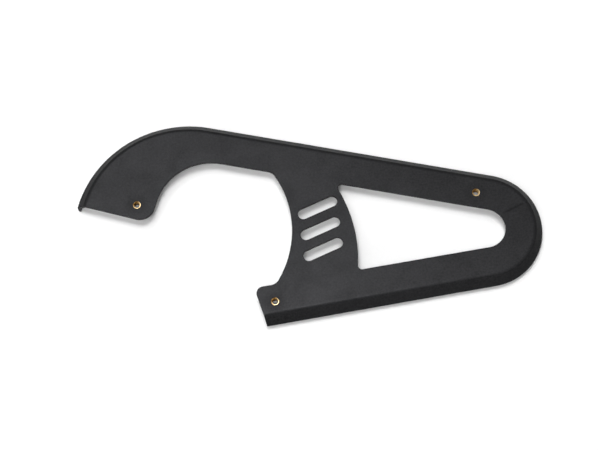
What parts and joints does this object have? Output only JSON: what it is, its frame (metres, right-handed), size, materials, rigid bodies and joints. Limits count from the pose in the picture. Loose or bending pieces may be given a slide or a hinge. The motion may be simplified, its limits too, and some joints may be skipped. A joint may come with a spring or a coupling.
{
  "type": "motorcycle chain guard",
  "caption": "Flat moulded chain guard with a sloping rim and wall, a hooked end beside an open sprocket mouth, a triangular opening, slots, and brass threaded inserts.",
  "frame": {"origin": "middle of the outline in plan, at the edge of the wall that the guard lies on", "axes": "+X runs from the rear sprocket's end to the front sprocket's end, +Y to the upper run, +Z out of the face"},
  "size_m": [0.4694, 0.2122, 0.0215],
  "materials": {
    "shell": "fine moulded grain, satin black",
    "insert": "bright turned brass"
  },
  "bodies": {
    "root": {"guard_shell": "shell", "rear_insert": "insert", "lower_insert": "insert", "front_insert": "insert"}
  },
  "joints": []
}
